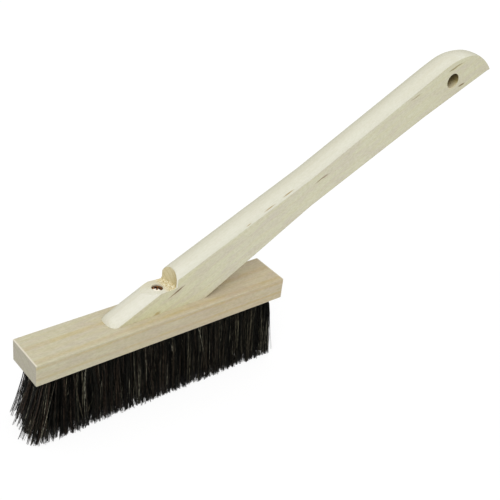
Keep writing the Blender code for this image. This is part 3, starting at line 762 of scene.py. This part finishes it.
def step_tool():
    """The step's cutter: a floor grid with torn grain near the round wall, carried straight up.

    The tears are a sum of sines drawn out along the fibres, stronger towards the wall. The floor rises a little near
    the wall in a soft step. Its far corner dips: evenly along towards the wall, and in a soft step across. The
    floor's faces are of the first material, the wall's of the second.
    """
    y = np.linspace(-15, 17, 97)[None] * MM
    wall = step_wall(y)
    along = np.linspace(0, 1, 121)[:, None] ** 0.8
    x = STEP_FRONT + (wall - STEP_FRONT) * along
    y = y + 0 * x
    torn = soft_step((x - 2 * MM) / (5 * MM))
    rough = np.zeros_like(x)
    for _ in range(TEARS):
        pitch_x, pitch_y, shift = chance.uniform(2.2, 6, 1) * MM, chance.uniform(0.7, 1.9, 1) * MM, chance.uniform(0, 7)
        lean = chance.uniform(-0.25, 0.25)
        rough += np.sin((x + lean * y) / pitch_x * 6.28 + (y - lean * x) / pitch_y * 6.28 + shift)
    height = STEP_HEIGHT + TEAR_HEIGHT * rough * torn + STEP_RISE * soft_step((x - 5 * MM) / (6 * MM))
    height = height - STEP_DIP * np.clip((x + 4 * MM) / (16 * MM), 0, 1) * soft_step((y + 1 * MM) / (9 * MM))
    lower = np.stack([x + MIDDLE, y, height + BLOCK_TOP], -1)
    upper = lower + [0, 0, STEP_TOOL_HEIGHT]
    rows, columns = x.shape
    count = rows * columns
    sheet = grid_faces(rows, columns, False)
    border = np.concatenate([
        np.arange(columns - 1), np.arange(rows - 1) * columns + columns - 1,
        np.arange(columns - 1, 0, -1) + (rows - 1) * columns, np.arange(rows - 1, 0, -1) * columns])
    after = np.roll(border, -1)
    walls = np.stack([border, after, after + count, border + count], -1)
    points = np.concatenate([lower.reshape(-1, 3), upper.reshape(-1, 3)])
    mesh = mesh_from("step_tool", points, outward(points, np.concatenate([sheet[:, ::-1], sheet + count, walls])))
    kinds = np.zeros(len(mesh.polygons), np.int32)
    kinds[2 * len(sheet):] = 1
    mesh.polygons.foreach_set("material_index", kinds)
    return mesh


def rim_tool():
    """The cutter that rounds the step's upper rim: a section, outside of a quarter circle, swept along the rim.

    The rim runs up the near side, over the arch and down the far side, in the plane of the wall; the section's
    first coordinate goes along X and its second one down into the wood.
    """
    across = np.linspace(-1, 1, ARCH_POINTS)[None]
    arch_y = HANDLE_THICKNESS / 2 * np.sin(ARCH_SPREAD * across) / math.sin(ARCH_SPREAD)
    wall = step_wall(arch_y + HANDLE_SIDE_OFFSET)
    arch_z = arch(wall, across)[1]
    low = STEP_HEIGHT + 0.4 * MM
    near_z = np.linspace(low, arch_z[0, 0], 6)[:-1]
    far_z = np.linspace(arch_z[0, -1], low, 6)[1:]
    y = np.concatenate([np.full(5, arch_y[0, 0]), arch_y[0], np.full(5, arch_y[0, -1])])
    z = np.concatenate([near_z, arch_z[0], far_z])
    x = np.concatenate([np.full(5, wall[0, 0]), wall[0], np.full(5, wall[0, -1])])
    steps = unit_length(np.stack([np.diff(y), np.diff(z)], 1))
    ahead = unit_length(np.concatenate([steps[:1], steps[:-1] + steps[1:], steps[-1:]]))
    inwards = np.stack([ahead[:, 1], -ahead[:, 0]], 1)
    turn = np.radians(np.arange(0, 91, 15))
    spare = 0.6 * MM
    section = np.concatenate([
        [[-spare, STEP_RIM]], np.stack([STEP_RIM * (1 - np.cos(turn)), STEP_RIM * (1 - np.sin(turn))], 1),
        [[STEP_RIM, -spare], [-spare, -spare]]])
    grid = np.stack([
        x[:, None] + section[None, :, 0] + MIDDLE,
        y[:, None] + inwards[:, :1] * section[None, :, 1] + HANDLE_SIDE_OFFSET,
        z[:, None] + inwards[:, 1:] * section[None, :, 1] + math.tan(LOWER_BACK_PITCH) * section[None, :, 0]
        + BLOCK_TOP], -1)
    return closed_tube("rim_tool", grid)


def turned_tool(name, profile, sides, to_place):
    """A cutter turned about its own axis from a profile of (radius, height), then put in its place."""
    profile = np.array(profile)
    angle = (np.arange(sides) + 0.37) / sides * 2 * math.pi
    grid = np.stack([
        profile[:, :1] * np.cos(angle), profile[:, :1] * np.sin(angle),
        np.broadcast_to(profile[:, 1:], (len(profile), sides))], -1)
    mesh = closed_tube(name, grid)
    mesh.transform(to_place)
    return mesh


def cut(piece, mesh, *materials):
    """Take a tool's shape out of the piece; the new faces get the tool's materials."""
    for material in materials:
        mesh.materials.append(material)
    tool = put(mesh.name, mesh)
    change = piece.modifiers.new(mesh.name, "BOOLEAN")
    change.operation = "DIFFERENCE"
    change.solver = "EXACT"
    change.material_mode = "TRANSFER"
    change.object = tool
    graph = bpy.context.evaluated_depsgraph_get()
    done = bpy.data.meshes.new_from_object(piece.evaluated_get(graph), depsgraph=graph)
    piece.modifiers.clear()
    bpy.data.objects.remove(tool)
    piece.data = done


def clean(mesh):
    """Join points closer than 0.01 mm, drop the empty faces that cutting leaves, and split faces of many corners."""
    shape = bmesh.new()
    shape.from_mesh(mesh)
    bmesh.ops.remove_doubles(shape, verts=shape.verts, dist=0.01 * MM)
    bmesh.ops.dissolve_degenerate(shape, edges=shape.edges, dist=0.01 * MM)
    many = [face for face in shape.faces if len(face.verts) > 4]
    bmesh.ops.triangulate(shape, faces=many, ngon_method="BEAUTY")
    shape.to_mesh(mesh)
    shape.free()


def mark_borders(mesh):
    """Make the edges between faces of different materials sharp too."""
    sizes, kinds = np.zeros(len(mesh.polygons), np.int32), np.zeros(len(mesh.polygons), np.int32)
    mesh.polygons.foreach_get("loop_total", sizes)
    mesh.polygons.foreach_get("material_index", kinds)
    edges = np.zeros(len(mesh.loops), np.int32)
    mesh.loops.foreach_get("edge_index", edges)
    kinds = np.repeat(kinds, sizes)
    lowest, highest = np.full(len(mesh.edges), 99), np.full(len(mesh.edges), -1)
    np.minimum.at(lowest, edges, kinds)
    np.maximum.at(highest, edges, kinds)
    sharp = np.zeros(len(mesh.edges), bool)
    mesh.edges.foreach_get("use_edge_sharp", sharp)
    mesh.edges.foreach_set("use_edge_sharp", sharp | (lowest != highest))


handle_shape = handle_blank()
handle = add_piece("shaped_handle", handle_shape, "handle_wood",
                   [handle_back_wood, handle_side_wood, under_and_edge_shade_wood], "handle")
sole = np.array([[x, y, z] for x in (-60, 60) for y in (-20, 20) for z in (-14, 0)]) * MM
sole[:, 2] += SOLE_JOINT * (sole[:, 2] > -1 * MM) + BLOCK_TOP
sole[:, 0] += MIDDLE
sole_faces = np.array([[0, 1, 3, 2], [4, 6, 7, 5], [0, 4, 5, 1], [2, 3, 7, 6], [0, 2, 6, 4], [1, 5, 7, 3]])
cut(handle, mesh_from("sole_tool", sole, outward(sole, sole_faces)), handle_side_wood)
rim = np.radians(np.arange(0, 91, 15))
mouth_radius = HANG_HOLE_RADIUS + HANG_HOLE_RIM * (1 - np.sin(rim))
mouth_height = HANDLE_THICKNESS / 2 + 0.02 * MM - HANG_HOLE_RIM * (1 - np.cos(rim))
bore = np.concatenate([
    [[mouth_radius[0], HANDLE_THICKNESS]], np.stack([mouth_radius, mouth_height], 1),
    np.stack([mouth_radius, -mouth_height], 1)[::-1], [[mouth_radius[0], -HANDLE_THICKNESS]]])[::-1]
hole_z = BLOCK_TOP + float(under_edge(HANG_HOLE_X) + back_edge(HANG_HOLE_X)) / 2 - HANG_HOLE_BELOW_MIDDLE
hole_middle = Matrix.Translation((HANG_HOLE_X + MIDDLE, HANDLE_SIDE_OFFSET, hole_z))
hole_place = hole_middle @ Matrix.Rotation(math.pi / 2, 4, "X")
cut(handle, turned_tool("hang_hole_tool", bore, 72, hole_place), bore_wood)
screw_place = Matrix.Translation((SCREW_X + MIDDLE, SCREW_SIDE_OFFSET, BLOCK_TOP + STEP_HEIGHT - SCREW_SINK))
shaft_hole = SHANK_RADIUS + SCREW_CLEARANCE
head_hole = HEAD_RADIUS + SCREW_CLEARANCE
sunk = [
    [shaft_hole, -30 * MM], [shaft_hole, SHANK_RADIUS - HEAD_RADIUS - SEAT_DEPTH], [head_hole, -SEAT_DEPTH],
    [head_hole, SCREW_SINK - 0.3 * MM], [head_hole + COUNTERBORE_CHAMFER, SCREW_SINK + 0.02 * MM],
    [head_hole + COUNTERBORE_CHAMFER, 12 * MM]]
cut(handle, turned_tool("screw_hole_tool", sunk, 48, screw_place), counterbore_wood)
pilot = [
    [0.3 * MM, -SCREW_LENGTH - SCREW_CLEARANCE], [shaft_hole, 5 * MM - SCREW_LENGTH - SCREW_CLEARANCE],
    [shaft_hole, SCREW_SINK - STEP_HEIGHT + 1 * MM]]
cut(block, turned_tool("pilot_hole_tool", pilot, 48, screw_place), block_side_wood)
clean(block.data)
block.data.set_sharp_from_angle(angle=BLOCK_CREASE)
block.data.name = "drilled_block"
cut(handle, step_tool(), step_floor_wood, step_wall_wood)
cut(handle, rim_tool(), handle_back_wood)
clean(handle.data)
handle.data.shade_smooth()
handle.data.set_sharp_from_angle(angle=CREASE)
mark_borders(handle.data)
handle.data.name = "shaped_handle"


# Wood screw

def screw_mesh():
    """A closed surface turned about the screw's axis: head top, cone, plain shank and a helical thread.

    The head's top is a low dome. The cross recess lowers it where the place lies in one of two crossed slots. The
    thread is a triangle wave of height minus turn, which fades in below the shank and out at the point.
    """
    top = np.linspace(0, 1, 30)[1:] * (HEAD_RADIUS - 0.25 * MM)
    depth = np.linspace(THREAD_START, SCREW_LENGTH - 0.5 * MM, 150)
    radius = np.concatenate([top, [HEAD_RADIUS - 0.08 * MM, HEAD_RADIUS, HEAD_RADIUS, SHANK_RADIUS, SHANK_RADIUS],
                             np.full(len(depth), CORE_RADIUS)])
    height = np.concatenate([np.zeros(len(top)), [-0.05 * MM, -0.15 * MM, -HEAD_RIM],
                             [-HEAD_RIM - HEAD_RADIUS + SHANK_RADIUS, -THREAD_START + 0.3 * MM], -depth])
    sides = SCREW_SIDES
    angle = np.arange(sides)[None] / sides * 2 * math.pi
    radius = radius[:, None] + 0 * angle
    height = height[:, None] + 0 * angle
    below = -height - THREAD_START
    wave = np.abs(((below / THREAD_PITCH - angle / (2 * math.pi)) % 1.0) * 2 - 1)
    tooth = np.clip(1 - THREAD_SHARPNESS * wave, 0, 1) * np.clip(below / (2 * MM), 0, 1)
    to_point = np.clip((SCREW_LENGTH + height) / (5 * MM), 0.02, 1)
    threaded = (CORE_RADIUS + (SHANK_RADIUS - CORE_RADIUS) * tooth) * to_point
    radius = np.where(below >= 0, threaded, radius)
    x = radius * np.cos(angle)
    y = radius * np.sin(angle)
    cross_x = np.abs(x * math.cos(RECESS_TURN) + y * math.sin(RECESS_TURN))
    cross_y = np.abs(y * math.cos(RECESS_TURN) - x * math.sin(RECESS_TURN))
    reach = np.maximum(cross_x, cross_y)
    narrow = np.minimum(cross_x, cross_y)
    inside = soft_step((RECESS_SLOT + 0.15 * MM - narrow) / (0.25 * MM)) * soft_step((RECESS_ARM - reach) / (0.9 * MM))
    on_top = height > -0.01 * MM
    height = height + on_top * (HEAD_RISE * (1 - (radius / HEAD_RADIUS) ** 2) - RECESS_DEPTH * inside)
    points = np.stack([x, y, height], -1).reshape(-1, 3)
    rows = len(radius)
    ends = np.array([[0.0, 0.0, HEAD_RISE - RECESS_DEPTH], [0.0, 0.0, -SCREW_LENGTH]])
    points = np.concatenate([points, ends])
    ring = np.arange(sides)
    after = np.roll(ring, -1)
    top_fan = np.stack([ring, after, np.full(sides, rows * sides)], -1)
    base = (rows - 1) * sides
    point_fan = np.stack([after + base, ring + base, np.full(sides, rows * sides + 1)], -1)
    mesh = mesh_from("wood_screw", points, grid_faces(rows, sides, True)[:, ::-1], top_fan, point_fan)
    mesh.transform(screw_place)
    mesh.set_sharp_from_angle(angle=CREASE)
    return mesh


add_piece("wood_screw", screw_mesh(), "screw_metal", [screw_metal], "handle_screw")


# Hair

def crowded(share, side):
    """Places from -1 to 1 from even shares from 0 to 1; they crowd towards the side of the field that side names."""
    return np.where(side == 0, 2 * share - 1, side * (1 - 2 * share ** 1.5))


def tip_place(x, y, extra):
    """Where a straight hair from this place of the field ends: the outer ones lean out, and the left end's most.

    left and right grow from 0 to 1 with a power of the way into the reach of each end's splay. The left end leans
    more towards its near side, less right at that side, and least at the far side, and its near side bulges most
    about half-way into the reach. extra is how much further a loose hair of the left end leans.
    """
    left = (np.maximum(0.0, -x - FIELD_LENGTH / 2 + LEFT_SPLAY_REACH) / LEFT_SPLAY_REACH) ** 1.5
    right = (np.maximum(0.0, x - FIELD_LENGTH / 2 + RIGHT_SPLAY_REACH) / RIGHT_SPLAY_REACH) ** 2
    side = y * 2 / FIELD_WIDTH
    near, far = np.maximum(0, -side), np.maximum(0, side)
    lean = 1 + 0.8 * near - 1.0 * near ** 4 - 0.75 * far
    bulge = 1 + near * (1.1 * left * (1 - left) - 0.15 * left ** 3)
    tip_x = x + RIGHT_SPLAY * right - (LEFT_SPLAY * lean + extra * (1 + far)) * left
    return tip_x, y + SIDE_SPLAY * side * bulge + LEFT_FAR_SPLAY * far * left


def hair_lines(rank):
    """The middle lines of one row's hairs, each hair's lock and each lock's shade.

    A hair starts in its tuft's hole, swells out below it to fill the row, and ends near its lock's tip. On the way
    its offset grows with a mix of the first and second power of the way down, plus a half sine of bend and a full
    sine of wave of the lock, and a bend of its own. Of the five shades, the black, brown and light ones have their
    shares, and the dark grey one is the rest; towards the left end there are fewer light locks.
    """
    locks = TUFTS_IN_RANK * LOCKS_IN_TUFT
    lock = np.repeat(np.arange(locks), HAIRS_IN_LOCK)
    count = len(lock)
    tuft = np.arange(locks) // LOCKS_IN_TUFT
    centre_x, centre_y = tuft_centre(rank, tuft)
    row_end = int(rank == RANKS - 1) - int(rank == 0)
    row_side = (tuft == TUFTS_IN_RANK - 1).astype(int) - (tuft == 0)
    lock_u = crowded(chance.random(locks), row_end)
    lock_v = crowded(chance.random(locks), row_side)
    u = np.clip(lock_u[lock] + chance.normal(0, LOCK_WIDTH, count), -1, 1)
    v = np.clip(lock_v[lock] + chance.normal(0, LOCK_WIDTH, count), -1, 1)
    off_x = ROOT_REACH * u * np.sqrt(1 - v ** 2 / 2)
    off_y = ROOT_REACH * v * np.sqrt(1 - u ** 2 / 2)
    loose = chance.random(locks) < LOOSE_LOCKS
    extra = loose * np.abs(chance.normal(0, LOOSE_LEAN, locks))
    field_x, field_y = centre_x + 0.52 * RANK_PITCH * lock_u, centre_y + 0.5 * TUFT_PITCH * lock_v
    lock_x, lock_y = tip_place(field_x, field_y, extra)
    inner = soft_step((FIELD_LENGTH / 2 - np.abs(field_x)) / INNER_REACH)
    wild = loose & (chance.random(locks) < WILD_LOCKS)
    spread = np.where(wild, 0.8 + 8.0 * inner, np.where(loose, 0.8 + 4.0 * inner, 1.1))
    lock_x = lock_x + chance.normal(0, 1, locks) * spread * MM
    lock_y = lock_y + chance.normal(0, 1, locks) * np.where(loose, 0.9, 0.4) * MM
    lock_x = lock_x + LOCK_GATHER * (np.sin(lock_x / LOCK_PERIODS[0] + 3 * lock_v) + np.sin(lock_x / LOCK_PERIODS[1]))
    along = rank / (RANKS - 1)
    light = 0.45 + 1.05 * along
    shares = np.array([0.34 + 0.08 * along, 0.0, 0.22 - 0.06 * along, 0.11 * light, 0.05 * light])
    shares[1] = 1 - shares.sum()
    kind = chance.choice(5, locks, p=shares)
    fray = (np.where(kind < 3, chance.uniform(0.2, 0.8, locks), chance.uniform(0.05, 0.3, locks)) * MM)[lock]
    tip_x = lock_x[lock] + chance.normal(0, 1, count) * fray
    tip_y = lock_y[lock] + chance.normal(0, 1, count) * fray
    level = chance.uniform(*TIP_LEVELS, locks)[lock] * MM + np.abs(chance.normal(0, TIP_LEVEL_SPREAD, count))
    stray = chance.random(count) < STRAY_HAIRS
    level = np.where(stray, chance.uniform(*STRAY_LEVELS, count) * MM, level)
    tip_x = np.where(stray, tip_x + chance.normal(0, 2.0 * MM, count), tip_x)
    tip_y = np.where(stray, tip_y + chance.normal(0, 1.5 * MM, count), tip_y)
    way = HAIR_PLACES
    root_z = BLOCK_BASE + ROOT_DEPTH
    swing = chance.random(locks)[lock][:, None] * 2 * math.pi
    bend = np.abs(chance.normal(0, 1, locks)) * np.where(loose, 1.6, 0.9) * (0.3 + 0.7 * inner) * MM
    bend = bend[lock][:, None] * np.sin(math.pi * way)
    wave = chance.normal(0, LOCK_WAVE, locks)[lock][:, None] * np.sin(2 * math.pi * way)
    own = chance.normal(0, HAIR_BEND, (2, count, 1)) * np.sin(math.pi * way)
    grow = 0.75 * way + 0.25 * way ** 2
    swell = soft_step((way - 0.05) / 0.14)
    fill = np.where(row_end * u > 0, 0.5 * RANK_PITCH - ROW_END_GAP, 0.5 * RANK_PITCH)
    root_x = (centre_x + off_x)[:, None] + (fill * u - off_x)[:, None] * swell
    root_y = (centre_y[lock] + off_y)[:, None] + (0.5 * TUFT_PITCH * v - off_y)[:, None] * swell
    line_x = root_x * (1 - grow) + tip_x[:, None] * grow + (bend + wave) * np.cos(swing) + own[0]
    line_y = root_y * (1 - grow) + tip_y[:, None] * grow + (bend + wave) * np.sin(swing) * 0.6 + own[1]
    line_z = root_z + (level[:, None] - root_z) * way
    return np.stack([line_x + MIDDLE, line_y, line_z], -1), lock, kind


def hair_tints(rank, lock, kind):
    """Linear colours of one row's hairs at their places: each lock's shade with some hairs of other shades.

    A light hair is lightest at one place of its way, in a bell curve from the dark grey shade, a painted highlight
    where it catches the light, and every hair gets lighter with the square of the way down. The brown shade is
    browner towards the left end.
    """
    locks, count = len(kind), len(lock)
    shades = np.array([rgb(code)[:3] for code in HAIR_SHADES])
    shades[2] += (1 - rank / (RANKS - 1)) * (np.array(rgb(BROWN_AT_LEFT_END)[:3]) - shades[2])
    other = chance.random(count) < HAIRS_OF_OTHER_SHADE
    kind = np.where(other, chance.choice(5, count, p=OTHER_SHADE_SHARES), kind[lock])
    peak = chance.uniform(0.2, 1.1, locks)[lock][:, None]
    # A light hair's bell curve along its way is a painted highlight
    share = np.where(kind[:, None] < 3, 1.0, np.exp(-((HAIR_PLACES - peak) / 0.4) ** 2))[:, :, None]
    tint = shades[kind] * chance.uniform(0.75, 1.25, count)[:, None]
    return (shades[1] + (tint[:, None] - shades[1]) * share) * (1 + 0.3 * HAIR_PLACES[:, :, None] ** 2)


def hair_mesh(name, rank):
    """Tapered three-sided hairs of one row of tufts, in locks of nearby hairs that share their way and tint.

    A hair's corners stand at even turns about its middle line, at a radius that shrinks with the square of the way
    down; both of its ends are closed.
    """
    line, lock, kind = hair_lines(rank)
    count, places = line.shape[:2]
    ahead = unit_length(np.gradient(line, axis=1))
    beside = unit_length(np.cross(ahead, [0.0, 1.0, 0.0]))
    across = np.cross(ahead, beside)
    size = chance.uniform(0.85, 1.2, count)[:, None]
    thick = size * (HAIR_ROOT_RADIUS + (HAIR_TIP_RADIUS - HAIR_ROOT_RADIUS) * HAIR_PLACES ** 2)
    corner = np.arange(HAIR_CORNERS) * 2 * math.pi / HAIR_CORNERS
    rim = beside[:, :, None] * np.cos(corner)[:, None] + across[:, :, None] * np.sin(corner)[:, None]
    points = (line[:, :, None] + rim * thick[:, :, None, None]).reshape(-1, 3)
    per_hair = places * HAIR_CORNERS
    jumps = np.arange(count)[:, None, None] * per_hair
    sides = (grid_faces(places, HAIR_CORNERS, True)[None] + jumps).reshape(-1, 4)
    caps = (np.array([[2, 1, 0], [per_hair - 3, per_hair - 2, per_hair - 1]])[None] + jumps).reshape(-1, 3)
    mesh = mesh_from(name, points, sides, caps)
    tint = np.repeat(hair_tints(rank, lock, kind).reshape(-1, 3), HAIR_CORNERS, axis=0)
    layer = mesh.color_attributes.new("tint", "FLOAT_COLOR", "POINT")
    layer.data.foreach_set("color", np.concatenate([tint, np.ones((len(tint), 1))], 1).astype(np.float32).ravel())
    return mesh


for rank in range(RANKS):
    name = f"hair_rank_{rank + 1:02d}"
    add_piece(name, hair_mesh(name, rank), "bristle_hair", [hair], f"tuft_rank_{rank + 1:02d}")


# Camera, from the brush's edges in the photograph
LENS = 71.72
SENSOR = 36.0
CAMERA_PLACE = (-0.50589, -0.54120, 0.56419)
CAMERA_RIGHT = (0.7862, -0.6082, 0.1097)
CAMERA_FORWARD = (0.5624, 0.6305, -0.5350)
camera_data = bpy.data.cameras.new("camera")
camera_data.lens = LENS
camera_data.sensor_width = SENSOR
camera_data.clip_start = 0.01
camera = put("camera", camera_data)
right = Vector(CAMERA_RIGHT).normalized()
forward = Vector(CAMERA_FORWARD).normalized()
turn = Matrix((right, right.cross(forward), -forward)).transposed()
camera.matrix_world = Matrix.Translation(CAMERA_PLACE) @ turn.to_4x4()
bpy.context.scene.camera = camera

# Floor and light
FLOOR_HALF = 3.0
SKY_LIGHT = 0.705
SUN_STRENGTH = 1.28
SUN_WIDTH = math.radians(40)
SUN_DIRECTION = (0.48, 0.47, -0.78)
floor_points = FLOOR_HALF * np.array([[-1, -1, 0], [1, -1, 0], [1, 1, 0], [-1, 1, 0]])
floor_mesh = mesh_from("floor", floor_points, np.array([[0, 1, 2, 3]]))
floor_mesh.materials.append(paper_floor())
put("floor", floor_mesh)

world = bpy.data.worlds.new("studio")
bpy.context.scene.world = world
world.use_nodes = True
world.node_tree.nodes.clear()
sky = world.node_tree
level = add(sky, "ShaderNodeMapRange", None, {
    0: seen_directly(sky), 1: 0.0, 2: 1.0, 3: SKY_LIGHT, 4: 1.0}).outputs[0]
light = add(sky, "ShaderNodeBackground", None, {"Color": (1.0, 1.0, 1.0, 1.0), "Strength": level}).outputs[0]
add(sky, "ShaderNodeOutputWorld", None, {"Surface": light})

key_data = bpy.data.lights.new("key", "SUN")
key_data.energy = SUN_STRENGTH
key_data.angle = SUN_WIDTH
key = put("key", key_data)
key.rotation_mode = "QUATERNION"
key.rotation_quaternion = Vector(SUN_DIRECTION).to_track_quat("-Z", "Y")

bpy.context.scene.view_settings.view_transform = "Standard"
